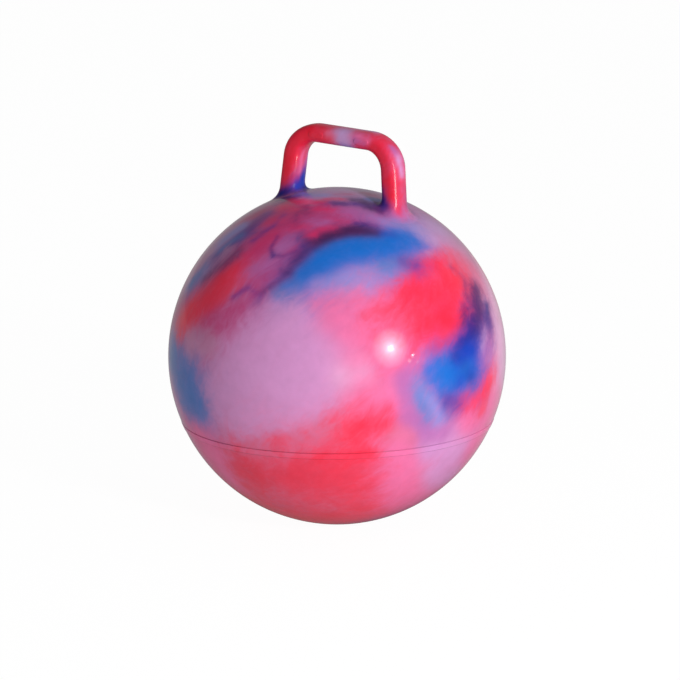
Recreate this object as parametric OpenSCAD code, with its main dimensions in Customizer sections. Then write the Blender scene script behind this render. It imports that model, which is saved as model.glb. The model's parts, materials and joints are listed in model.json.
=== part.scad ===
// Hopper ball: an inflated vinyl ball that a child sits on and holds by one loop handle.
// Millimetres, +Z up, origin in the middle of the flat patch that rests on the floor.
// The loop stands in the XZ plane, and the valve is on the +Y side of the crown.

/* [Ball] */
// Outer diameter of the inflated ball
ball_d = 450; // [400:5:600]
// Thickness of the vinyl wall
skin_wall = 1.2; // [1:0.1:2.5]
// Radius of the flat patch that the ball rests on
patch_r = 30; // [24:1:45]

/* [Mould seam] */
// Depth of the seam's groove below the middle of the ball
seam_drop = 82.5; // [60:0.5:110]
// Lean of the seam's axis towards the left leg, in degrees
seam_tilt = 3.1; // [0:0.1:8]
// Radius of the round groove, less than the wall
groove_r = 0.7; // [0.3:0.1:0.9]
// Width of the raised belt under the groove
belt_w = 8; // [4:0.5:14]
// How far the belt stands proud of the ball
belt_proud = 0.5; // [0.2:0.1:1.2]

/* [Handle] */
// Distance between the middles of the two legs where they meet the ball
leg_spacing = 162; // [150:1:190]
// Lean of each leg towards the other, in degrees
leg_lean = 5.5; // [0:0.5:10]
// Height of the middle of the grip bar above the crown
bar_rise = 72; // [68:1:95]
// Radius of the loop's upper corners, at the middle of the tube
corner_r = 37; // [26:1:42]
// Thickness of the grip bar, seen from the front
bar_t = 24; // [16:1:27]
// Depth of the grip bar, front to back
bar_depth = 33.5; // [24:0.5:40]
// Thickness of a leg, seen from the front
leg_t = 26.5; // [18:0.5:30]
// Depth of a leg, front to back
leg_depth = 35.5; // [26:0.5:42]
// Thickness of the handle's wall
handle_wall = 2.2; // [1.5:0.1:3.5]
// Squareness of the tube: 2 is an ellipse, and more is squarer
tube_power = 2.8; // [2:0.1:4]

/* [Handle roots] */
// Reach of the root fillet outwards over the ball
root_reach = 14; // [8:0.5:18]
// Reach of the root fillet up the leg
root_rise = 16; // [8:0.5:20]
// Thickness of the fillet's rim, where it ends on the ball
rim_t = 0.6; // [0.4:0.1:1.2]
// Gap between the leg's inner wall and the air passage below it
passage_margin = 1; // [0.5:0.1:3]

/* [Grip pads] */
// Length of each raised pad on the front of the grip bar
pad_len = 22; // [14:1:26]
// Width of each pad
pad_w = 9; // [6:0.5:11]
// How far a pad stands proud of the bar
pad_proud = 0.6; // [0.3:0.1:1.5]
// Distance from the middle of the bar to the near end of each pad
pad_start = 24; // [16:1:30]

/* [Valve] */
// Angle from the crown to the valve, in degrees
valve_angle = 36; // [30:1:60]
// Thickness of the seat's outer flange over the wall
flange_t = 2.4; // [2:0.1:3.5]
// Width of the flange's rim round the recess for the plug's head
flange_rim = 1.8; // [1:0.1:3]
// How far the flange slopes out below its rim
flange_slope = 3.5; // [2:0.1:6]
// Thickness of the seat's neck round its bore
neck_wall = 3; // [2:0.1:4]
// Length of the neck below the outer face of the wall
neck_len = 16; // [12:0.5:22]
// How far the collar inside the wall stands out from the neck
collar_reach = 3; // [1.5:0.1:5]
// Thickness of the collar inside the wall
collar_t = 2; // [1.2:0.1:3]

/* [Valve plug] */
// Radius of the plug's sealing ribs
rib_r = 3.45; // [2.5:0.05:4]
// How far a rib stands out from the shank
rib_depth = 0.45; // [0.2:0.05:0.8]
// Length of the shank below the head
shank_len = 12; // [10:0.5:16]
// Length of the taper at the shank's tip
tip_len = 3; // [1.5:0.5:5]
// Number of sealing ribs
rib_count = 4; // [2:1:5]
// Height of one rib along the shank
rib_h = 1.2; // [0.8:0.1:1.6]
// Radius of the plug's head
head_r = 7.5; // [6:0.1:9]
// Thickness of the head at its edge
head_t = 1.6; // [1.2:0.1:2.5]
// Height of the dome over the head's edge
dome_h = 1.2; // [0.6:0.1:2]
// Gap round a rib in the seat
rib_gap = 0.05; // [0.03:0.01:0.09]
// Gap between the plug's head and its recess
head_gap = 0.2; // [0.1:0.05:0.5]
// Depth of the recess that takes the head
recess_depth = 1.2; // [0.6:0.1:1.6]

/* [Hidden] */

ball_r = ball_d / 2;
// Height of the ball's middle over the floor, with the patch pressed flat
mid_z = sqrt(ball_r * ball_r - patch_r * patch_r);
// How far a cutting shape runs past what it cuts
overrun = 1;

// Radii of the seat's bore, of its neck in the ball's wall, and of the recess for the head
bore_r = rib_r + rib_gap;
neck_r = bore_r + neck_wall;
recess_r = head_r + head_gap;

vinyl_pink = "#cf4f7d";
vinyl_red = "#d22b45";
seat_white = "#e9e4e2";
plug_white = "#f6f3ee";

// The loop's middle line: a level bar, two round corners and two leaning legs
root_x = leg_spacing / 2;
root_z = mid_z + sqrt(ball_r * ball_r - root_x * root_x);
bar_z = mid_z + ball_r + bar_rise;
// Direction down a leg, and across it away from the loop, in [x, z]
leg_down = [sin(leg_lean), -cos(leg_lean)];
leg_out = [cos(leg_lean), sin(leg_lean)];
// Middle of the corner's arc, which touches both the bar and the leg
corner_z = bar_z - corner_r;
corner_x = root_x - (corner_r + (corner_z - root_z) * sin(leg_lean)) / cos(leg_lean);
leg_top = [corner_x, corner_z] + corner_r * leg_out;

// Points round the tube, and rings along a corner and along a root's fillet
tube_points = 36;
corner_steps = 9;
fillet_steps = 6;

// Point number j of a tube section, from -1 to 1 each way: [away from the loop, to the back]
function section_point(j) =
    let (a = 360 * j / tube_points, c = cos(a), s = sin(a),
         k = pow(pow(abs(c), tube_power) + pow(abs(s), tube_power), -1 / tube_power))
    k * [c, s];

// One ring of the tube round the point [x, z], where out is the way from the loop
function ring(centre, out, t, depth) =
    [for (j = [0:tube_points - 1])
        let (p = section_point(j), w = p[0] * t / 2)
        [centre[0] + w * out[0], p[1] * depth / 2, centre[1] + w * out[1]]];

// Smooth change from a at share 0 to b at share 1
function ease(a, b, share) = a + (b - a) * share * share * (3 - 2 * share);

// Rings from the middle of the bar to the top of the right leg, inset from the surface
function upper_rings(inset) = concat(
    [ring([0, bar_z], [0, 1], bar_t - 2 * inset, bar_depth - 2 * inset)],
    [for (i = [0:corner_steps])
        let (share = i / corner_steps, a = 90 - share * (90 - leg_lean), out = [cos(a), sin(a)])
        ring([corner_x, corner_z] + corner_r * out, out,
             ease(bar_t, leg_t, share) - 2 * inset, ease(bar_depth, leg_depth, share) - 2 * inset)]);

// Distance down the leg from point p to the sphere of radius r round the ball's middle
function drop_to(p, r) =
    let (v = p - [0, 0, mid_z], d = [leg_down[0], 0, leg_down[1]], along = v * d)
    -along - sqrt(along * along - v * v + r * r);

// Point p moved down the leg
function down_leg(p, distance) = p + distance * [leg_down[0], 0, leg_down[1]];

// Point straight above [x, y] on the sphere of radius r round the ball's middle
function on_ball(x, y, r) = [x, y, mid_z + sqrt(r * r - x * x - y * y)];

// Rings of the root: each runs down the leg wall, turns outwards along a parabola that
// touches the wall and the ball, ends in a thin rim, and goes on into the ball's wall
function root_rings() =
    let (top = ring(leg_top, leg_out, leg_t, leg_depth),
         middle = [leg_top[0], 0, leg_top[1]],
         rim_r = ball_r + rim_t,
         lines = [for (p = top)
             let (far = drop_to(p, ball_r), foot = down_leg(p, far),
                  away = [p[0] - middle[0], p[1]], reach = root_reach * away / norm(away),
                  rim = on_ball(foot[0] + reach[0], foot[1] + reach[1], rim_r),
                  normal = rim - [0, 0, mid_z],
                  d = [leg_down[0], 0, leg_down[1]],
                  turn = down_leg(p, ((rim - p) * normal) / (d * normal)))
             [down_leg(p, far - root_rise), turn, rim,
              [0, 0, mid_z] + normal * (ball_r - skin_wall) / rim_r]])
    concat(
        [for (i = [0:fillet_steps])
            let (s = i / fillet_steps)
            [for (l = lines) (1 - s) * (1 - s) * l[0] + 2 * s * (1 - s) * l[1] + s * s * l[2]]],
        [[for (l = lines) l[3]]]);

// The last ring of the tube's inside, as deep in the ball's wall as the outer surface goes
function inner_end_ring() =
    [for (p = ring(leg_top, leg_out, leg_t - 2 * handle_wall, leg_depth - 2 * handle_wall))
        down_leg(p, drop_to(p, ball_r - skin_wall))];

function mirrored(rings) =
    [for (i = [len(rings) - 1:-1:1]) [for (p = rings[i]) [-p[0], p[1], p[2]]]];

// Quads between two rings of points that start at numbers a and b
function band(a, b) =
    [for (j = [0:tube_points - 1]) let (k = (j + 1) % tube_points) [a + j, a + k, b + k, b + j]];

module hollow_loop() {
    right = concat(upper_rings(0), root_rings());
    inner_right = concat(upper_rings(handle_wall), [inner_end_ring()]);
    outer = concat(mirrored(right), right);
    inner = concat(mirrored(inner_right), inner_right);
    n_outer = len(outer);
    n_inner = len(inner);
    inner_start = n_outer * tube_points;
    inner_end = inner_start + (n_inner - 1) * tube_points;
    polyhedron(
        points = [for (r = concat(outer, inner)) each r],
        faces = concat(
            [for (i = [0:n_outer - 2]) each band(i * tube_points, (i + 1) * tube_points)],
            [for (i = [0:n_inner - 2])
                each band(inner_start + (i + 1) * tube_points, inner_start + i * tube_points)],
            band(inner_start, 0),
            band(inner_start - tube_points, inner_end)));
}

module ball(r) {
    translate([0, 0, mid_z]) sphere(r = r, $fn = 144);
}

// Moves a shape to a leg's foot, with Z up the leg
module at_leg(side) {
    translate([side * root_x, 0, root_z]) rotate([0, -side * leg_lean, 0]) children();
}

// Moves a shape to the valve, with Z outwards and its zero on the ball's surface
module at_valve() {
    translate([0, 0, mid_z]) rotate([-valve_angle, 0, 0]) translate([0, 0, ball_r]) children();
}

// Moves a shape to the seam, with Z along the seam's axis and its zero on the groove's plane
module at_seam() {
    translate([0, 0, mid_z]) rotate([0, -seam_tilt, 0]) translate([0, 0, -seam_drop]) children();
}

// Raised belt where the two halves of the mould meet, just below the groove
module seam_belt() {
    intersection() {
        ball(ball_r + belt_proud);
        at_seam() translate([-ball_d, -ball_d, -groove_r - belt_w])
            cube([2 * ball_d, 2 * ball_d, belt_w]);
    }
}

// Round groove along the top of the belt
module seam_groove() {
    ring_r = sqrt(ball_r * ball_r - seam_drop * seam_drop);
    at_seam() rotate_extrude($fn = 144) translate([ring_r, 0]) circle(r = groove_r, $fn = 24);
}

module ball_skin() {
    color(vinyl_pink) difference() {
        union() {
            ball(ball_r);
            seam_belt();
        }
        seam_groove();
        translate([-ball_r, -ball_r, -ball_r]) cube([ball_d, ball_d, ball_r]);
        intersection() {
            ball(ball_r - skin_wall);
            translate([-ball_r, -ball_r, skin_wall]) cube([ball_d, ball_d, ball_d]);
        }
        for (side = [-1, 1])
            at_leg(side) translate([0, 0, -leg_t])
                cylinder(r = leg_t / 2 - handle_wall - passage_margin, h = 2 * leg_t, $fn = 48);
        at_valve() translate([0, 0, -neck_len]) cylinder(r = neck_r, h = 2 * neck_len, $fn = 64);
    }
}

// Raised pads with round ends on the front of the grip bar, one on each side of its middle
module grip_pads() {
    base_y = -bar_depth / 2 + handle_wall / 2;
    pad_h = handle_wall / 2 + pad_proud;
    for (side = [-1, 1]) {
        near = side * (pad_start + pad_w / 2);
        far = side * (pad_start + pad_len - pad_w / 2);
        translate([0, base_y, bar_z]) rotate([90, 0, 0]) {
            for (x = [near, far])
                translate([x, 0, 0]) cylinder(r = pad_w / 2, h = pad_h, $fn = 48);
            translate([min(near, far), -pad_w / 2, 0]) cube([abs(far - near), pad_w, pad_h]);
        }
    }
}

module handle() {
    color(vinyl_red) {
        difference() {
            hollow_loop();
            ball(ball_r);
        }
        grip_pads();
    }
}

// Lens-shaped outer flange, with its underside on the ball
module seat_flange() {
    rim_r = recess_r + flange_rim;
    difference() {
        translate([0, 0, -overrun])
            cylinder(r1 = rim_r + flange_slope, r2 = rim_r, h = overrun + flange_t, $fn = 96);
        translate([0, 0, -ball_r]) sphere(r = ball_r, $fn = 144);
    }
}

// Collar that holds the seat from inside, with its top against the wall
module seat_collar() {
    collar_low = skin_wall + collar_t;
    intersection() {
        translate([0, 0, -collar_low])
            cylinder(r = neck_r + collar_reach, h = collar_low, $fn = 64);
        translate([0, 0, -ball_r]) sphere(r = ball_r - skin_wall, $fn = 144);
    }
}

module valve_seat() {
    color(seat_white) at_valve() difference() {
        union() {
            seat_flange();
            translate([0, 0, -neck_len]) cylinder(r = neck_r, h = neck_len + flange_t / 2, $fn = 64);
            seat_collar();
        }
        translate([0, 0, -neck_len - overrun])
            cylinder(r = bore_r, h = neck_len + flange_t + 2 * overrun, $fn = 64);
        translate([0, 0, flange_t - recess_depth])
            cylinder(r = recess_r, h = recess_depth + overrun, $fn = 96);
    }
}

module valve_plug() {
    head_z = flange_t - recess_depth + head_gap;
    shank_r = rib_r - rib_depth;
    rib_pitch = shank_len / (rib_count + 1);
    dome_r = (head_r * head_r + dome_h * dome_h) / (2 * dome_h);
    color(plug_white) at_valve() translate([0, 0, head_z]) {
        intersection() {
            cylinder(r = head_r, h = head_t + 2 * dome_h, $fn = 96);
            translate([0, 0, head_t + dome_h - dome_r]) sphere(r = dome_r, $fn = 144);
        }
        translate([0, 0, -shank_len]) cylinder(r = shank_r, h = shank_len, $fn = 48);
        for (i = [1:rib_count])
            translate([0, 0, -i * rib_pitch - rib_h / 2]) cylinder(r = rib_r, h = rib_h, $fn = 48);
        translate([0, 0, -shank_len - tip_len])
            cylinder(r1 = shank_r / 2, r2 = shank_r, h = tip_len, $fn = 48);
    }
}

ball_skin();
handle();
valve_seat();
valve_plug();
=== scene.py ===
"""Hopper ball: an inflated marbled vinyl ball with one moulded loop handle and a plugged valve.

Everything is in metres, with +Z up and the origin in the middle of the patch that the ball
rests on. The loop stands in the XZ plane, and the valve is on the +Y side of the crown.
"""

import json
import math

import bpy
import numpy as np
from mathutils import Matrix, Vector

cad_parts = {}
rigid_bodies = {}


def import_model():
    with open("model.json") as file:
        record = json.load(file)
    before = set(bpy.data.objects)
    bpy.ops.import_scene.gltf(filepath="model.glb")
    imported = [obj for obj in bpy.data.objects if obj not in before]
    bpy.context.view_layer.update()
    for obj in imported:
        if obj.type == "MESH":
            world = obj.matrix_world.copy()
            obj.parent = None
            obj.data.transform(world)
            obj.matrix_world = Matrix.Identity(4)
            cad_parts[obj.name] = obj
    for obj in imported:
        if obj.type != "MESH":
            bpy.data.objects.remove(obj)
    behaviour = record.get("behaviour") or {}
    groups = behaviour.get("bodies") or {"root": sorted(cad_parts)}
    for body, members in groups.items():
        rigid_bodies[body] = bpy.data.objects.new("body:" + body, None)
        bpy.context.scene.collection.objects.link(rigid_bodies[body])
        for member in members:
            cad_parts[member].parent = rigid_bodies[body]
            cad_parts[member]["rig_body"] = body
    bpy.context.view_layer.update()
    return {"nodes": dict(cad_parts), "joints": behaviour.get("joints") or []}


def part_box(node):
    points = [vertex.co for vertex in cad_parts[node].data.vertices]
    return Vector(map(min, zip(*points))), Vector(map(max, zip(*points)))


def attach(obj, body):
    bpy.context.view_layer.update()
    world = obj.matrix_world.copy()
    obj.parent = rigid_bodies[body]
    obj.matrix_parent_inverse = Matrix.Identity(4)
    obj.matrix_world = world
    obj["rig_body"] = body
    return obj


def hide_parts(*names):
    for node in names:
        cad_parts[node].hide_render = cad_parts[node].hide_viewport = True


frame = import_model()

bl_info = {
    "name": "Hopper Ball",
    "version": (1, 0, 0),
    "blender": (4, 5, 0),
    "location": "3D View > Sidebar > Hopper Ball",
    "description": "Builds a marbled vinyl hopper ball with a loop handle and an air valve",
    "category": "Add Mesh",
}

MM = 0.001

# The frame's own measures, from which the default sizes follow, in millimetres and degrees
skin_low, skin_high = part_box("ball_skin")
plug_pull = next(j for j in frame["joints"] if j["name"] == "plug_pull")
BALL_R = round((skin_high.x - skin_low.x) / (2 * MM), 1)
BALL_Z = skin_high.z / MM - BALL_R
VALVE_TILT = math.degrees(math.atan2(plug_pull["axis"][1], plug_pull["axis"][2]))


def linear(code):
    """Linear red, green and blue of a display colour written as six hex digits."""
    shares = np.array([int(code[i:i + 2], 16) for i in (0, 2, 4)]) / 255
    return tuple(np.where(shares > 0.04045, ((shares + 0.055) / 1.055) ** 2.4, shares / 12.92))


def length(label, description, millimetres):
    """A property that holds a length in metres, given here in millimetres."""
    return bpy.props.FloatProperty(
        name=label, description=description, default=millimetres * MM, min=0, precision=4,
        unit="LENGTH")


def angle(label, description, degrees):
    """A property that holds an angle, given here in degrees."""
    return bpy.props.FloatProperty(
        name=label, description=description, default=math.radians(degrees), unit="ROTATION")


def colour(label, description, code):
    """A property that holds a colour."""
    return bpy.props.FloatVectorProperty(
        name=label, description=description, default=linear(code), min=0, max=1,
        size=3, subtype="COLOR")


def number(label, description, default, low=0.0, high=1000.0):
    """A property that holds a plain number."""
    return bpy.props.FloatProperty(
        name=label, description=description, default=default, min=low, max=high, precision=3)


class BallSizes(bpy.types.PropertyGroup):
    """The inflated ball and its mould seam."""

    radius: length("Radius", "Outer radius of the ball", BALL_R)
    middle_z: length("Middle", "Height of the ball's middle over the floor", BALL_Z)
    patch_soft: length("Patch edge", "Softness of the edge of the flat patch", 0.4)
    seam_drop: length("Seam drop", "Depth of the seam below the ball's middle", 82.5)
    seam_tilt: angle("Seam tilt", "Lean of the seam's axis towards the left leg", 3.1)
    groove_r: length("Groove", "Depth and half-width of the seam's groove", 0.7)
    belt_w: length("Belt width", "Width of the raised belt under the groove", 8)
    belt_proud: length("Belt height", "How far the belt stands proud", 0.5)


class HandleSizes(bpy.types.PropertyGroup):
    """The hollow loop handle, its roots and its grip pads."""

    leg_spacing: length("Leg spacing", "Distance between the legs at the ball", 162)
    leg_lean: angle("Leg lean", "Lean of each leg towards the other", 5.5)
    bar_rise: length("Bar rise", "Height of the bar's middle above the crown", 72)
    corner_r: length("Corner radius", "Radius of the loop's upper corners", 37)
    bar_t: length("Bar thickness", "Thickness of the bar from the front", 24)
    bar_depth: length("Bar depth", "Depth of the bar, front to back", 33.5)
    leg_t: length("Leg thickness", "Thickness of a leg from the front", 26.5)
    leg_depth: length("Leg depth", "Depth of a leg, front to back", 35.5)
    power: number("Squareness", "Power of the tube's outline: 2 is an ellipse", 2.8, high=6.0)
    root_reach: length("Root reach", "Reach of the root's fillet over the ball", 14)
    root_rise: length("Root rise", "Reach of the root's fillet up the leg", 16)
    pad_len: length("Pad length", "Length of each raised grip pad", 22)
    pad_w: length("Pad width", "Width of each pad", 9)
    pad_proud: length("Pad height", "How far a pad stands proud", 0.6)
    pad_start: length("Pad start", "Bar's middle to the near end of a pad", 24)
    pad_edge: length("Pad edge", "Width of a pad's soft edge", 0.7)


class ValveSizes(bpy.types.PropertyGroup):
    """The valve's seat in the skin and the plug in it."""

    tilt: angle("Tilt", "Angle from the crown to the valve", VALVE_TILT)
    wall: length("Wall", "Thickness of the ball's wall at the valve", 1.2)
    flange_t: length("Flange", "Thickness of the outer flange", 2.4)
    flange_rim: length("Rim", "Width of the rim round the recess", 1.8)
    flange_slope: length("Slope", "How far the flange slopes out", 3.3)
    bore_r: length("Bore radius", "Radius of the seat's bore", 3.5)
    neck_wall: length("Neck wall", "Thickness of the neck round the bore", 3)
    neck_len: length("Neck length", "Length of the neck below the skin", 16)
    collar_reach: length("Collar reach", "How far the inner collar stands out", 3)
    collar_t: length("Collar", "Thickness of the inner collar", 2)
    recess_r: length("Recess radius", "Radius of the recess for the head", 7.7)
    recess_depth: length("Recess depth", "Depth of the recess", 1.2)
    head_r: length("Head radius", "Radius of the plug's head", 7.5)
    head_t: length("Head edge", "Thickness of the head at its edge", 1.6)
    dome_h: length("Dome", "Height of the dome over the head's edge", 1.2)
    head_gap: length("Head gap", "Gap between the head and its recess", 0.2)
    shank_r: length("Shank radius", "Radius of the shank between its ribs", 3)
    shank_len: length("Shank length", "Length of the shank", 12)
    tip_len: length("Tip length", "Length of the taper at the tip", 3)
    rib_r: length("Rib radius", "Radius of the sealing ribs", 3.45)
    rib_h: length("Rib height", "Height of a rib along the shank", 1.2)
    rib_count: bpy.props.IntProperty(
        name="Ribs", description="Number of sealing ribs", default=4, min=1, max=5)


class Palette(bpy.types.PropertyGroup):
    """The colours that are marbled into the vinyl, and the valve's own."""

    hot: colour("Hot red", "Brightest red", "f62b46")
    scarlet: colour("Scarlet", "Deeper red of the handle", "e41830")
    crimson: colour("Crimson", "Red of the lower half", "ee3650")
    cerise: colour("Cerise", "Cool red of the crown", "dc2e66")
    rose: colour("Rose", "Red thinned with lilac", "c23a76")
    pink: colour("Pink", "Pink between red and lilac", "ea6fa2")
    lilac: colour("Lilac", "Main pale colour", "d091c6")
    pale: colour("Pale lilac", "Palest colour", "e0a6cd")
    haze: colour("Haze", "Lilac thinned with blue", "bc95c8")
    blush: colour("Blush", "Pink thinned from red", "d96c92")
    mauve: colour("Mauve", "Greyed pink", "c888b0")
    orchid: colour("Orchid", "Purple-pink", "b565a8")
    periwinkle: colour("Periwinkle", "Blue thinned with lilac", "8c8cd2")
    blue: colour("Blue", "Main blue", "066ac8")
    cobalt: colour("Cobalt", "Strong dark blue", "0c3cb0")
    steel: colour("Steel blue", "Dull blue", "4c78c0")
    navy: colour("Navy", "Darkest blue", "161f7c")
    violet: colour("Violet", "Blue over red", "5f3490")
    plum: colour("Plum", "Dark purple", "4c2468")
    maroon: colour("Maroon", "Dark red over blue", "421848")
    ring: colour("Valve ring", "Fixed part of the valve", "e9e4e2")
    plug: colour("Plug", "Valve plug", "f3efe9")


class StageSettings(bpy.types.PropertyGroup):
    """The camera, lamps and surroundings."""

    azimuth: angle("Azimuth", "Camera's angle round the object from the front", 32)
    elevation: angle("Elevation", "Camera's angle above the horizon", 14)
    roll: angle("Roll", "Camera's roll", 2.1)
    distance: length("Distance", "Camera to the ball's middle", 5000)
    aim_right: length("Aim right", "How far right of the ball's middle the camera aims", 3.9)
    aim_up: length("Aim up", "How far above the ball's middle the camera aims", 20.8)
    lens: number("Lens", "Focal length in millimetres", 198.6, 20.0)
    sensor: number("Sensor", "Sensor width in millimetres", 36.0, 8.0)
    key_power: number("Key power", "Watts of the key lamp", 62.0)
    glow: number("Glow", "Brightness of the lamp's reflection", 23.0)
    ambient: number("Ambient", "Level of the surroundings", 0.43, high=2.0)


class HopperBall(bpy.types.PropertyGroup):
    """All the settings of the hopper ball."""

    ball: bpy.props.PointerProperty(type=BallSizes)
    handle: bpy.props.PointerProperty(type=HandleSizes)
    valve: bpy.props.PointerProperty(type=ValveSizes)
    palette: bpy.props.PointerProperty(type=Palette)
    stage: bpy.props.PointerProperty(type=StageSettings)


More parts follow.
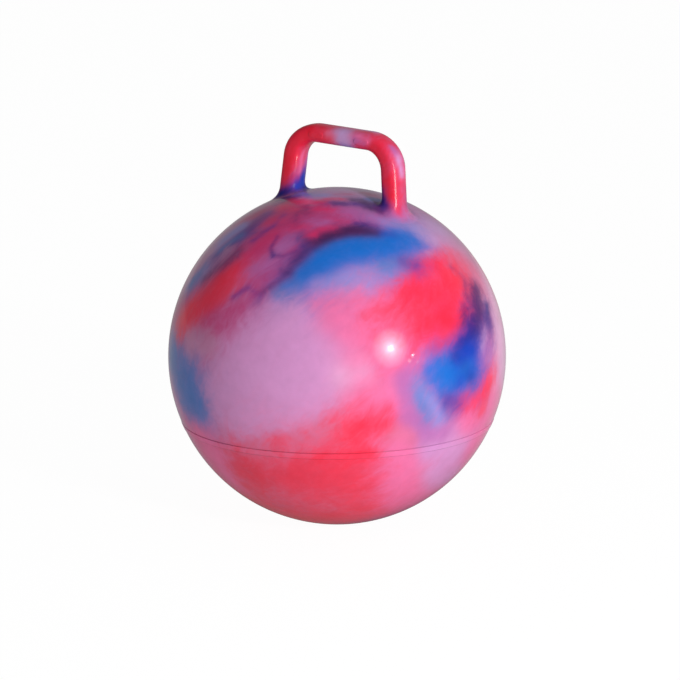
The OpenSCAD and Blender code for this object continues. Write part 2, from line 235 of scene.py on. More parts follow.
# Marbling on the ball. Each stroke of paint has its colour, its radius in degrees, its strength
# and its path: places in degrees round from +X towards +Y, and degrees above the middle.
BALL_STROKES = [
    # Pale heart of the front
    ("lilac", 16, 1.6, (-86, 12), (-74, 4), (-68, 8)),
    ("lilac", 8, 1.4, (-84, 28), (-76, 27)),
    ("lilac", 9, 1.2, (-98, -6), (-90, -11)),
    ("pink", 7, 1.8, (-58, 27), (-50, 23)),
    ("pink", 7, 1.6, (-51, 10), (-46, 0)),
    ("pale", 5, 1.5, (-56, 8), (-50, 9)),
    ("pink", 5, 1.2, (-66, 33), (-52, 35)),
    ("pink", 5, 1.6, (-44, 30), (-42, 22), (-40, 12)),
    # Blue band over it, with its dark upper edge
    ("steel", 3.4, 5, (-83, 33), (-76, 39)),
    ("blue", 2.4, 7, (-80, 36), (-74, 41)),
    ("plum", 1.3, 5, (-89, 33), (-83, 38), (-80, 42)),
    ("blue", 3.6, 14, (-75, 41), (-68, 46)),
    ("blue", 4.6, 26, (-66, 48), (-57, 51), (-42, 53), (-30, 54)),
    ("blue", 4.2, 20, (-33, 52), (-22, 55), (-13, 55)),
    ("periwinkle", 4, 2.6, (-68, 38), (-54, 42), (-40, 43), (-26, 45)),
    ("periwinkle", 3.6, 2.6, (-55, 38), (-45, 39)),
    ("steel", 3, 9, (-38, 45), (-32, 46)),
    ("violet", 3, 9, (-28, 46), (-22, 44)),
    ("violet", 2.8, 3, (-90, 31), (-85, 36), (-81, 41)),
    ("plum", 2.6, 16, (-81, 41), (-78, 47), (-73, 52)),
    ("maroon", 2.8, 22, (-72, 54), (-64, 58), (-54, 60), (-46, 60), (-36, 59)),
    ("cobalt", 2.4, 8, (-32, 58), (-25, 57)),
    ("navy", 1.8, 5, (-47, 64), (-40, 63), (-33, 62)),
    ("cerise", 2, 7, (-76, 57), (-71, 60), (-65, 61)),
    # Red sweep to the right
    ("hot", 7, 6, (-26, 34), (-16, 32), (-8, 37)),
    ("hot", 5, 8, (-25, 24), (-15, 24)),
    ("hot", 4, 3, (-12, 42), (-4, 43), (4, 44)),
    ("cerise", 3, 3.4, (-22, 42), (-12, 43)),
    ("crimson", 9, 1.3, (-44, 31), (-36, 24)),
    ("pink", 9, 1.6, (-48, 30), (-36, 20)),
    ("crimson", 4, 2.4, (0, 36), (8, 40)),
    ("plum", 1.5, 1.5, (0, 30), (4, 36), (0, 41)),
    ("blush", 6, 4, (8, 42), (16, 40)),
    ("mauve", 6, 1.6, (20, 48), (24, 42)),
    ("pale", 9, 1.6, (28, 28), (26, 14)),
    # Blue patch on the right, with its dark tail
    ("cobalt", 3.6, 40, (-13, 9), (-8, 12)),
    ("blue", 3.8, 44, (-18, 7), (-10, 6)),
    ("blue", 3.2, 8, (-24, 7), (-20, 8)),
    ("cobalt", 2.6, 30, (-12, 4), (-8, 5)),
    ("navy", 2.2, 14, (-14, 11), (-10, 7), (-8, 4)),
    ("rose", 2.6, 14, (-20, 16), (-15, 18)),
    ("crimson", 2.2, 9, (-19, 18), (-16, 20)),
    ("scarlet", 3, 4, (-17, 26), (-14, 22)),
    ("rose", 2.2, 4, (-11, -3), (-8, -2)),
    ("plum", 2, 4, (-8, 22), (-5, 25)),
    ("haze", 2.8, 3, (1, 13), (4, 16)),
    ("steel", 4, 5.6, (-30, 1), (-26, -7)),
    ("orchid", 4, 4.5, (-35, 6), (-34, 0), (-33, -6), (-26, -12), (-18, -15)),
    ("blush", 4, 2.6, (-37, -12), (-31, -14)),
    ("periwinkle", 3.4, 2.4, (-30, 1), (-25, -3), (-22, -9)),
    ("violet", 3.2, 3, (-18, -2), (-12, -4)),
    ("navy", 3, 9, (-10, 15), (-5, 17), (-1, 20)),
    ("plum", 3, 7, (0, 21), (5, 25), (9, 31)),
    ("navy", 2.4, 3, (8, 20), (12, 24)),
    ("violet", 3.5, 1.4, (4, 17), (9, 19)),
    ("orchid", 3.6, 2.8, (1, 9), (5, 13)),
    ("hot", 3.6, 3.6, (-8, -6), (0, -3), (6, 0)),
    ("pink", 6, 1.8, (-6, -12), (6, -12), (16, -8), (24, -12)),
    ("crimson", 4, 1.6, (2, -10)),
    ("pale", 8, 1.8, (24, 8), (23, -2)),
    # Red above and below the seam
    ("hot", 4, 1.3, (-78, -19), (-64, -16), (-54, -11)),
    ("blush", 4.5, 2.2, (-86, -22), (-72, -18), (-57, -11)),
    ("hot", 5, 1.7, (-54, -12), (-46, -7), (-40, -9)),
    ("hot", 3, 1.2, (-46, -3), (-40, -3)),
    ("pink", 5, 1.2, (-40, 2), (-34, -3)),
    ("crimson", 9, 3.2, (-86, -34), (-74, -31), (-58, -30)),
    ("crimson", 13, 2.6, (-66, -46), (-52, -46)),
    ("blush", 9, 0.9, (-84, -42), (-58, -48)),
    ("hot", 4, 1.6, (-62, -22), (-46, -20)),
    ("pink", 6, 1.6, (-34, -16), (-30, -26), (-28, -42)),
    ("pink", 7, 1.6, (-114, -24), (-112, -40)),
    ("lilac", 7, 2.2, (-20, -18), (-8, -24)),
    ("lilac", 8, 1.2, (-14, -32), (0, -38)),
    ("pink", 7, 1.6, (-32, -32), (-20, -44), (4, -50)),
    ("pink", 7, 1.6, (8, -22), (14, -32), (18, -42)),
    # Upper left: red sweep over dull blue
    ("hot", 4.4, 4.4, (-129, 13), (-118, 22), (-113, 31), (-105, 40)),
    ("cerise", 3, 3.4, (-105, 41), (-104, 48), (-101, 55)),
    ("rose", 4.6, 3.4, (-103, 46), (-102, 56), (-98, 62)),
    ("plum", 3, 1.1, (-124, 32), (-118, 38), (-114, 44)),
    ("steel", 3.6, 3.4, (-134, 27), (-130, 34)),
    ("mauve", 3.4, 1.6, (-128, 34), (-124, 43)),
    ("violet", 4.4, 1.7, (-128, 38), (-124, 46), (-122, 54), (-124, 61)),
    ("steel", 2.4, 2.6, (-128, 42), (-123, 50)),
    ("rose", 3.6, 2, (-142, 55), (-136, 60)),
    ("periwinkle", 3.4, 2, (-136, 44), (-132, 53)),
    ("mauve", 4, 2, (-142, 24), (-138, 40)),
    ("rose", 5, 1.8, (-142, 12), (-137, 20)),
    ("mauve", 7, 1.8, (-150, 60), (-150, 38)),
    ("orchid", 4.5, 3.2, (-98, 39), (-91, 41), (-85, 44)),
    ("rose", 3.6, 2, (-92, 36), (-86, 42), (-82, 50)),
    ("rose", 5, 2.4, (-111, 18), (-104, 21), (-97, 26), (-92, 32)),
    ("mauve", 4, 2.2, (-118, 10), (-107, 13)),
    ("crimson", 3.4, 2.4, (-114, 23), (-107, 30), (-101, 37)),
    ("orchid", 3, 2.4, (-91, 50), (-86, 51)),
    ("navy", 1, 2.6, (-97, 54), (-96, 49), (-92, 46), (-86, 47), (-80, 50), (-76, 54)),
    ("violet", 1.2, 2, (-102, 29), (-97, 33), (-91, 32)),
    ("violet", 1.4, 1.6, (-110, 50), (-106, 57), (-108, 64)),
    # Dull blue patch on the left
    ("steel", 5, 6, (-132, 2), (-122, -2)),
    ("steel", 4.6, 5, (-118, -7), (-112, -10)),
    ("lilac", 9, 1.4, (-150, -4), (-144, -18)),
    # Crown, from the blue band up to the legs
    ("rose", 6, 2.4, (-110, 62), (-96, 66), (-76, 68), (-60, 67)),
    ("cerise", 3, 2.4, (-112, 60), (-104, 61)),
    ("cerise", 2.6, 2.4, (-92, 60), (-82, 61)),
    ("plum", 2.4, 1.3, (-98, 67), (-92, 61)),
    ("orchid", 3.4, 2.6, (-80, 63), (-70, 64)),
    ("cerise", 2, 1.8, (-66, 66), (-54, 65)),
    ("orchid", 5, 3.2, (-46, 67), (-34, 66)),
    ("periwinkle", 4.4, 3, (-24, 64), (-14, 61), (-4, 58)),
    ("haze", 8, 2.2, (0, 55), (14, 54)),
    ("plum", 1.7, 3, (-68, 76), (-56, 76)),
    ("cerise", 2.8, 2.8, (-124, 67), (-106, 68)),
    ("plum", 2.2, 1.6, (-98, 71), (-90, 68)),
    ("cerise", 2.6, 2.6, (-82, 71), (-70, 71)),
    ("orchid", 3.6, 2.6, (-56, 71), (-40, 71), (-24, 69), (-8, 66)),
    ("cerise", 2, 3.2, (-132, 72), (-108, 74), (-84, 76)),
    ("violet", 1.7, 4, (-78, 76), (-60, 76), (-44, 76), (-24, 74), (-8, 72)),
    ("plum", 3, 6, (-16, 74), (-4, 72), (6, 70)),
    ("plum", 2.6, 3, (-150, 70), (-136, 73)),
    ("haze", 8, 1.2, (-100, 82), (0, 82)),
    ("cerise", 2, 2.4, (-86, 79), (-60, 80)),
    ("plum", 2.2, 1.8, (-40, 80), (-20, 79)),
    ("steel", 2.4, 2.6, (-8, 78), (4, 76)),
    ("periwinkle", 3, 1.8, (-134, 78), (-106, 81)),
    ("rose", 2.4, 1.8, (-80, 84), (-40, 85)),
    ("rose", 2.8, 1.6, (20, 80), (30, 82)),
    # Haze over the far side past the crown is a painted reflection: the pale sheen of that grazing
    # strip
    ("haze", 5, 2, (-160, 78), (180, 84), (60, 84)),
    # Back, on the same scheme
    ("lilac", 15, 1.6, (62, 12), (76, 8)),
    ("pale", 11, 1.5, (92, -6)),
    ("hot", 7, 2.8, (40, 26), (50, 35), (62, 40)),
    ("blue", 5, 4.5, (74, 48), (86, 42), (98, 34)),
    ("plum", 3.4, 2.6, (58, 52), (72, 55), (88, 50), (104, 38)),
    ("periwinkle", 6, 2, (98, 34), (104, 24)),
    ("hot", 7, 3, (112, 14), (122, 24), (134, 34)),
    ("rose", 8, 2.2, (132, 46), (148, 50)),
    ("lilac", 15, 1.6, (160, 8)),
    ("blue", 5.5, 4.5, (126, -5), (140, 1)),
    ("navy", 3.4, 1.8, (126, 0), (138, 6), (154, 16)),
    ("pink", 9, 1.5, (112, 4)),
    ("crimson", 11, 2.8, (90, -34), (110, -34)),
    ("hot", 5, 2.8, (52, -21), (68, -15)),
    ("steel", 6.5, 3.5, (40, -7), (48, -1)),
    ("pale", 10, 2, (134, -34), (146, -34)),
    ("crimson", 11, 2.6, (-176, -30), (-162, -30)),
    ("hot", 7, 2.6, (-174, 16), (-164, 26)),
    ("orchid", 8, 2.2, (54, 62), (70, 62)),
    ("violet", 4, 2, (96, 64), (122, 68)),
    ("periwinkle", 7, 1.8, (168, 62)),
    # Foot of the ball
    ("crimson", 13, 2.2, (-100, -64)),
    ("rose", 15, 1.8, (20, -66)),
    ("lilac", 15, 1.8, (130, -66)),
]

# Marbling on the handle, in the same way: the radius is in millimetres, and a place is in
# millimetres across, to the back and above the crown.
HANDLE_STROKES = [
    # Left leg: red, with a pink streak over the blue of its inner root. The streak is partly the
    # vinyl's pink and partly a painted highlight
    ("scarlet", 20, 2.6, (-90, -12, -4), (-78, -12, 40), (-60, -12, 66), (-24, -12, 74)),
    ("pink", 4.2, 5, (-63, -5, 46), (-67, -6, 18)),
    ("scarlet", 6, 12, (-77, -15, 34), (-79, -15, 6)),
    ("cobalt", 4.6, 120, (-67, 3, 6), (-68, 3, 0), (-69, -9, -4)),
    ("navy", 5.5, 90, (-68, 6, -10), (-75, -16, -12), (-84, -20, -14)),
    # Lilac-blue patch in the middle of the bar
    ("blush", 6, 3, (-16, -15, 76)),
    ("haze", 9, 6, (4, -14, 80), (9, -16, 72)),
    ("periwinkle", 6, 5, (8, -12, 64), (16, -12, 62)),
    ("orchid", 6, 5, (27, -16, 73), (40, -17, 71)),
    ("pink", 5, 4, (30, -16, 78), (46, -17, 74)),
    # Right half: red, with a lilac edge and a dark inner root
    ("scarlet", 18, 3.2, (40, -14, 66), (60, -14, 58), (76, -14, 20), (88, -14, 4)),
    ("scarlet", 9, 9, (82, -16, 24), (90, -14, 4)),
    ("lilac", 4, 3.5, (20, 5, 86), (46, 4, 84)),
    ("orchid", 4, 4, (79, -6, 70), (86, -5, 62)),
    ("lilac", 4, 8, (88, -3, 58), (91, -3, 50), (93, -1, 34)),
    ("pink", 3, 3, (94, -3, 28), (95, -3, 14)),
    ("navy", 3, 9, (64, -6, 34), (67, -8, 12)),
    ("navy", 6, 50, (67, -10, 6), (69, -15, -2), (76, -20, -6)),
    ("plum", 7, 12, (50, -24, -8), (62, -28, -9), (76, -27, -12)),
    ("scarlet", 5, 24, (86, -17, 8), (93, -16, 1), (95, -14, -8)),
    # Back of the loop
    ("scarlet", 15, 1.6, (20, 16, 74)),
    ("blue", 10, 1.8, (-44, 18, 68), (-32, 18, 74)),
    ("lilac", 11, 1.6, (-76, 18, 40)),
    ("scarlet", 14, 1.6, (80, 18, 20)),
]

# How fast a stroke's weight falls off past its radius
FALLOFF = 2.4
# How sharply one family of colours gives way to the next: 1 is sharp and 0 is an even blend
SHARPNESS = 0.8
# Waves that stir the paint: how far each pushes, in ball radii, and how closely it repeats
STIRRING = ((0.028, 3.5), (0.022, 6.0), (0.014, 11.0), (0.009, 19.0))
FAMILIES = {
    "reds": ("hot", "scarlet", "crimson", "cerise", "rose"),
    "blues": ("blue", "cobalt", "steel", "navy", "violet", "plum", "maroon", "periwinkle"),
    "pales": ("pink", "lilac", "pale", "haze", "blush", "mauve", "orchid"),
}


class Wire:
    """A node's output. Arithmetic on it adds Math nodes, with plain numbers on either side."""

    def __init__(self, graph, socket):
        self.graph = graph
        self.socket = socket

    def __add__(self, other):
        return self.graph.maths("ADD", self, other)

    def __sub__(self, other):
        return self.graph.maths("SUBTRACT", self, other)

    def __rsub__(self, other):
        return self.graph.maths("SUBTRACT", other, self)

    def __mul__(self, other):
        return self.graph.maths("MULTIPLY", self, other)

    __radd__ = __add__
    __rmul__ = __mul__


class Graph:
    """A node tree that is filled one node at a time."""

    def __init__(self, tree):
        self.tree = tree
        tree.nodes.clear()

    def node(self, kind, inputs=None, output=0, **options):
        """Adds a node, sets its options and then its inputs, and gives an output."""
        made = self.tree.nodes.new(kind)
        for name, value in options.items():
            setattr(made, name, value)
        for key, value in (inputs or {}).items():
            if isinstance(value, Wire):
                self.tree.links.new(value.socket, made.inputs[key])
            else:
                made.inputs[key].default_value = value
        return Wire(self, made.outputs[output])

    def maths(self, operation, *values):
        """A Math node."""
        return self.node("ShaderNodeMath", dict(enumerate(values)), operation=operation)

    def vector(self, operation, *values):
        """A Vector Math node. A plain number for an input fills all three of its parts."""
        full = [v if isinstance(v, (Wire, tuple)) else (v, v, v) for v in values]
        output = 1 if operation in ("DOT_PRODUCT", "LENGTH") else 0
        inputs = dict(enumerate(full))
        return self.node("ShaderNodeVectorMath", inputs, output, operation=operation)

    def noise(self, place, scale, detail, roughness=0.5, distortion=0.0, output=0):
        """Noise of a place: output 0 is one value, and output 1 is three that differ."""
        inputs = {"Vector": place, "Scale": scale, "Detail": detail,
                  "Roughness": roughness, "Distortion": distortion}
        return self.node("ShaderNodeTexNoise", inputs, output)

    def place(self):
        """Each point's place in the object's own axes."""
        return self.node("ShaderNodeTexCoord", output=3)

    def rays(self):
        """Whether a ray comes straight from the camera, and whether off a glossy surface."""
        path = self.node("ShaderNodeLightPath").socket.node.outputs
        return Wire(self, path["Is Camera Ray"]), Wire(self, path["Is Glossy Ray"])

    def emission(self, strength):
        """A white light of a strength."""
        return self.node("ShaderNodeEmission", {"Color": (1, 1, 1, 1), "Strength": strength})

    def attribute(self, name):
        """A vector attribute of the mesh."""
        return self.node("ShaderNodeAttribute", output=1, attribute_name=name)

    def parts(self, vector):
        """The three parts of a vector as wires."""
        first = self.node("ShaderNodeSeparateXYZ", {0: vector})
        return [Wire(self, s) for s in first.socket.node.outputs]

    def ramp(self, value, low, high):
        """Smooth change from 0 at low to 1 at high."""
        inputs = {0: value, 1: low, 2: high, 3: 0.0, 4: 1.0}
        return self.node("ShaderNodeMapRange", inputs, interpolation_type="SMOOTHSTEP")

    def output(self, shader, kind="ShaderNodeOutputMaterial"):
        """Ends the graph with a shader."""
        made = self.tree.nodes.new(kind)
        self.tree.links.new(shader.socket, made.inputs["Surface"])


def settings():
    """All the settings, as they are in the sidebar."""
    return bpy.context.scene.hopper_ball


def new_object(name, data):
    """An object, placed in the scene."""
    made = bpy.data.objects.new(name, data)
    bpy.context.scene.collection.objects.link(made)
    return made


def new_mesh(name, points, faces):
    """A mesh object, placed in the scene."""
    mesh = bpy.data.meshes.new(name)
    mesh.from_pydata(points, [], faces)
    return new_object(name, mesh)


def new_material(name):
    """A material, and the empty graph to fill for it."""
    material = bpy.data.materials.new(name)
    material.use_nodes = True
    return material, Graph(material.node_tree)


def unit(vectors):
    """Vectors scaled to a length of 1."""
    return vectors / np.linalg.norm(vectors, axis=-1, keepdims=True)


def on_sphere(lon, lat):
    """Unit vector at a longitude and latitude in degrees."""
    lon, lat = math.radians(lon), math.radians(lat)
    return np.array([math.cos(lat) * math.cos(lon), math.cos(lat) * math.sin(lon), math.sin(lat)])


def distance_to_path(points, path):
    """Square of the least distance from each point to a path of straight steps: for the step
    from a to b it is |p - a - t (b - a)|^2, with t = (p - a).(b - a) / |b - a|^2 from 0 to 1."""
    least = np.full(len(points), np.inf)
    ends = path[1:] if len(path) > 1 else path
    for a, b in zip(path, ends):
        step = b - a
        along = np.clip((points - a) @ step / max(step @ step, 1e-9), 0, 1)
        gap = points - a - along[:, None] * step
        least = np.minimum(least, np.einsum("ij,ij->i", gap, gap))
    return least


def stirred(points):
    """Places pushed about as by slow stirring: each wave adds its own small vector times the
    sine of the place along its direction."""
    rng = np.random.default_rng(seed=5)
    moved = points.copy()
    for reach, pitch in STIRRING:
        for _ in range(3):
            along, push = rng.normal(size=(2, 3))
            phase = rng.uniform(0, 2 * np.pi)
            wave = np.sin(moved @ unit(along) * pitch + phase)
            moved = moved + reach * wave[:, None] * unit(push)
    return moved


def paint_marbling(piece):
    """Puts the marbling on a mesh as attributes, for each family of colours its own.

    A stroke's weight is its strength over (1 + d^2 / r^2)^falloff, with d the distance to its
    path and r its radius. A family's colour is the weighted mean of its strokes' colours, and its
    level is the sharpness times the logarithm of their summed weight. Distances are in ball radii.
    """
    chosen = settings()
    ball, palette = chosen.ball, chosen.palette
    points = np.zeros(len(piece.data.vertices) * 3, np.float32)
    piece.data.vertices.foreach_get("co", points)
    middle = np.array([0, 0, ball.middle_z])
    place = stirred((points.reshape(-1, 3) - middle) / ball.radius)
    crown = np.array([0, 0, ball.radius])
    strokes = [(name, math.radians(r), strength, np.array([on_sphere(*p) for p in path]))
               for name, r, strength, *path in BALL_STROKES]
    strokes += [(name, r * MM / ball.radius, strength, (np.array(path) * MM + crown) / ball.radius)
                for name, r, strength, *path in HANDLE_STROKES]
    strokes = [(name, r, strength, stirred(path)) for name, r, strength, path in strokes]
    levels = []
    for family, names in FAMILIES.items():
        total = np.full(len(place), 1e-6)
        tint = total[:, None] * np.array(getattr(palette, names[0]))
        for name, radius, strength, path in strokes:
            if name in names:
                spread = 1 + distance_to_path(place, path) / radius ** 2
                weight = strength / spread ** FALLOFF
                total += weight
                tint += weight[:, None] * np.array(getattr(palette, name))
        add_attribute(piece, family, tint / total[:, None])
        levels.append(SHARPNESS * np.log(total))
    add_attribute(piece, "levels", np.stack(levels, -1))


def add_attribute(piece, name, values):
    """A vector at each point of the mesh, for the material to read."""
    attribute = piece.data.attributes.new(name, "FLOAT_VECTOR", "POINT")
    attribute.data.foreach_set("vector", values.astype(np.float32).ravel())


def marbled_vinyl(name, coat, coat_roughness):
    """Glossy soft vinyl. Each family's colour counts by exp(level + noise), so that the edges
    between colours break into wisps, and the skin has a soft gloss under a clear one."""
    material, graph = new_material(name)
    spot = graph.place()
    # Broad streaks and fine wisps, each with three parts that don't follow one another, drawn
    # out along the way the paint flowed: the place less most of its part along the flow
    flow = Vector((0.5, 0.5, 0.7)).normalized()
    drawn_out, streak_reach, wisp_reach = 0.6, 3.2, 2.0
    along = graph.vector("DOT_PRODUCT", spot, tuple(flow))
    drawn = graph.vector("MULTIPLY_ADD", tuple(flow), along * -drawn_out, spot)
    streak = graph.noise(drawn, 20.0, 4.0, 0.55, 1.2, output=1)
    wisp = graph.noise(drawn, 75.0, 4.0, 0.6, 1.4, output=1)
    unrest = graph.vector("ADD", graph.vector("MULTIPLY", streak, streak_reach),
                          graph.vector("MULTIPLY", wisp, wisp_reach))
    levels = graph.parts(graph.vector("ADD", graph.attribute("levels"), unrest))
    colour_sum, weight_sum = (0.0, 0.0, 0.0), 0.0
    for family, level in zip(FAMILIES, levels):
        weight = graph.maths("EXPONENT", level)
        colour_sum = graph.vector("MULTIPLY_ADD", graph.attribute(family), weight, colour_sum)
        weight_sum = weight + weight_sum
    marble = graph.vector("DIVIDE", colour_sum, weight_sum)
    # Cloudy brightness, and the painted shade of the seam's groove, with a painted highlight on
    # the belt under it
    cloud = graph.noise(spot, 60.0, 4.0, 0.6)
    seam_shading = graph.parts(graph.attribute("seam_shading"))[0]
    marble = graph.vector("MULTIPLY", marble, (0.9 + 0.2 * cloud) * (1 - 0.28 * seam_shading))
    # Uneven gloss, a fine peel and a slow sway of the skin
    gloss = graph.noise(spot, 40.0, 3.0)
    peel = graph.noise(spot, 700.0, 2.0)
    sway = graph.noise(spot, 28.0, 2.0)
    bump = graph.node("ShaderNodeBump", {
        "Strength": 0.35, "Distance": MM, "Height": peel * 0.02 + sway * 0.25})
    skin = graph.node("ShaderNodeBsdfPrincipled", {
        "Base Color": marble,
        "Roughness": 0.34 + 0.08 * gloss,
        "IOR": 1.48,
        "Specular IOR Level": 0.1,
        "Coat Weight": coat,
        "Coat Roughness": coat_roughness,
        "Coat IOR": 1.5,
        "Normal": bump,
    })
    graph.output(skin)
    return material


def satin_vinyl(name, paint):
    """Plain soft vinyl of the valve: cloudy colour, faint scuffs and a fine moulded grain."""
    material, graph = new_material(name)
    spot = graph.place()
    cloud = graph.ramp(graph.noise(spot, 180.0, 3.0, 0.55), 0.35, 0.7)
    scuff = graph.noise(spot, 420.0, 4.0, 0.65, 0.6)
    grain = graph.noise(spot, 2200.0, 2.0)
    bump = graph.node("ShaderNodeBump", {
        "Strength": 0.25, "Distance": 0.1 * MM, "Height": grain + scuff * 0.4})
    skin = graph.node("ShaderNodeBsdfPrincipled", {
        "Base Color": graph.vector("MULTIPLY", tuple(paint), 1 - 0.1 * cloud),
        "Roughness": 0.36 + 0.2 * scuff,
        "IOR": 1.5,
        "Normal": bump,
    })
    graph.output(skin)
    return material


def ring_faces(rows, columns, looped):
    """Quads that join each ring of points to the next, and fans that close the two ends."""
    here = np.arange(columns)
    ahead = (here + 1) % columns
    start = np.arange(rows if looped else rows - 1)[:, None] * columns
    after = (start + columns) % (rows * columns)
    quads = np.stack([start + here, start + ahead, after + ahead, after + here], -1)
    faces = quads.reshape(-1, 4).tolist()
    if not looped:
        count, last = rows * columns, (rows - 1) * columns
        foot = np.full(columns, count)
        faces += np.stack([ahead, here, foot], -1).tolist()
        faces += np.stack([last + here, last + ahead, foot + 1], -1).tolist()
    return faces


def mesh_from_rings(name, rings, looped=False):
    """Smooth closed mesh of rings of points, an array of rows, columns and three parts.

    The rings run so that a step along a ring, crossed with a step to the next, points out.
    """
    rows, columns = rings.shape[:2]
    points = rings.reshape(-1, 3)
    if not looped:
        points = np.vstack([points, rings[[0, -1]].mean(axis=1)])
    piece = new_mesh(name, points.tolist(), ring_faces(rows, columns, looped))
    piece.data.shade_smooth()
    piece.data.validate()
    return piece


def dress(piece, node, material):
    """Gives a piece its material and lets it stand for a node, on that node's body."""
    piece.data.materials.append(material)
    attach(piece, frame["nodes"][node]["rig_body"])
    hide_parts(node)


def revolved(outline, columns):
    """Rings of an outline of (radius, height) points turned round Z: x = r cos a, y = r sin a."""
    turn = np.linspace(0, 2 * np.pi, columns, endpoint=False)
    radius, height = outline[:, :1], outline[:, 1:]
    flat = np.broadcast_to(height, (len(outline), columns))
    return np.stack([radius * np.cos(turn), radius * np.sin(turn), flat], -1)


def smooth(value):
    """Smooth change from 0 to 1 as the value goes from 0 to 1: 3v^2 - 2v^3."""
    v = np.clip(value, 0, 1)
    return v * v * (3 - 2 * v)


def ball_rings(ball, columns):
    """Rings of the ball round the seam's axis, from its foot to its crown, and the painted shade
    on each
    ring: 1 in the groove, less at the foot of the belt, and under 0 on the belt, where it is a
    painted highlight.

    The distance from the ball's middle is its radius, less a round groove of depth
    sqrt(1 - s^2) across the seam line, plus a belt with soft edges under it. The rings are then
    leant over with the seam, and the flat patch is the greater of the height and 0, rounded off
    as (z + sqrt(z^2 + soft^2)) / 2.
    """
    seam = -math.asin(ball.seam_drop / ball.radius)
    belt_top = seam - ball.groove_r / ball.radius
    belt_foot = belt_top - ball.belt_w / ball.radius
    # Even rows from pole to pole, and close ones at the groove and the foot of the belt
    last_row, row_count, close_rows, close_step = 89.6, 205, 14, 0.14 * MM
    rows = np.radians(np.linspace(-last_row, last_row, row_count))
    near = np.arange(-close_rows, close_rows + 1) * close_step / ball.radius
    rows = np.union1d(rows, np.concatenate([seam + near, belt_foot + near]))
    groove_reach, belt_edge, foot_reach = 1.15 * ball.groove_r, 0.9 * MM, 1.2 * MM
    across = (rows - seam) * ball.radius / groove_reach
    groove = np.sqrt(np.clip(1 - across ** 2, 0, 1)) * ball.groove_r
    edge = belt_edge / ball.radius
    belt = smooth((belt_top - rows) / edge + 0.5) * smooth((rows - belt_foot) / edge + 0.5)
    reach = ball.radius - groove + ball.belt_proud * belt
    rings = revolved(np.stack([reach * np.cos(rows), reach * np.sin(rows)], -1), columns)
    # Painted shade in the groove, less of it at the belt's foot, and a painted highlight on the
    # belt
    foot_shade = 1 - smooth(abs(rows - belt_foot) * ball.radius / foot_reach)
    seam_shading = np.maximum(groove / ball.groove_r, 0.7 * foot_shade)
    seam_shading -= 0.2 * belt * (1 - seam_shading)
    c, t = math.cos(ball.seam_tilt), math.sin(ball.seam_tilt)
    x, y, z = np.moveaxis(rings, -1, 0)
    height = ball.middle_z + t * x + c * z
    height = (height + np.sqrt(height ** 2 + ball.patch_soft ** 2)) / 2
    return np.stack([c * x - t * z, y, height], -1), seam_shading


def tube_ring(centre, out, thickness, depth, power, points):
    """Superellipse round [x, z] centres: the direction at each angle, times
    (|cos|^p + |sin|^p)^(-1/p), times half the thickness away from the loop and half the depth
    to the back. Centres, directions and sizes are arrays with one row for each ring."""
    angles = np.linspace(0, 2 * np.pi, points, endpoint=False)[::-1]
    c, s = np.cos(angles), np.sin(angles)
    k = (abs(c) ** power + abs(s) ** power) ** (-1 / power)
    outward = k * c * thickness[:, None] / 2
    x = centre[:, :1] + outward * out[:, :1]
    z = centre[:, 1:] + outward * out[:, 1:]
    y = k * s * depth[:, None] / 2
    return np.stack([x, y, z], -1)


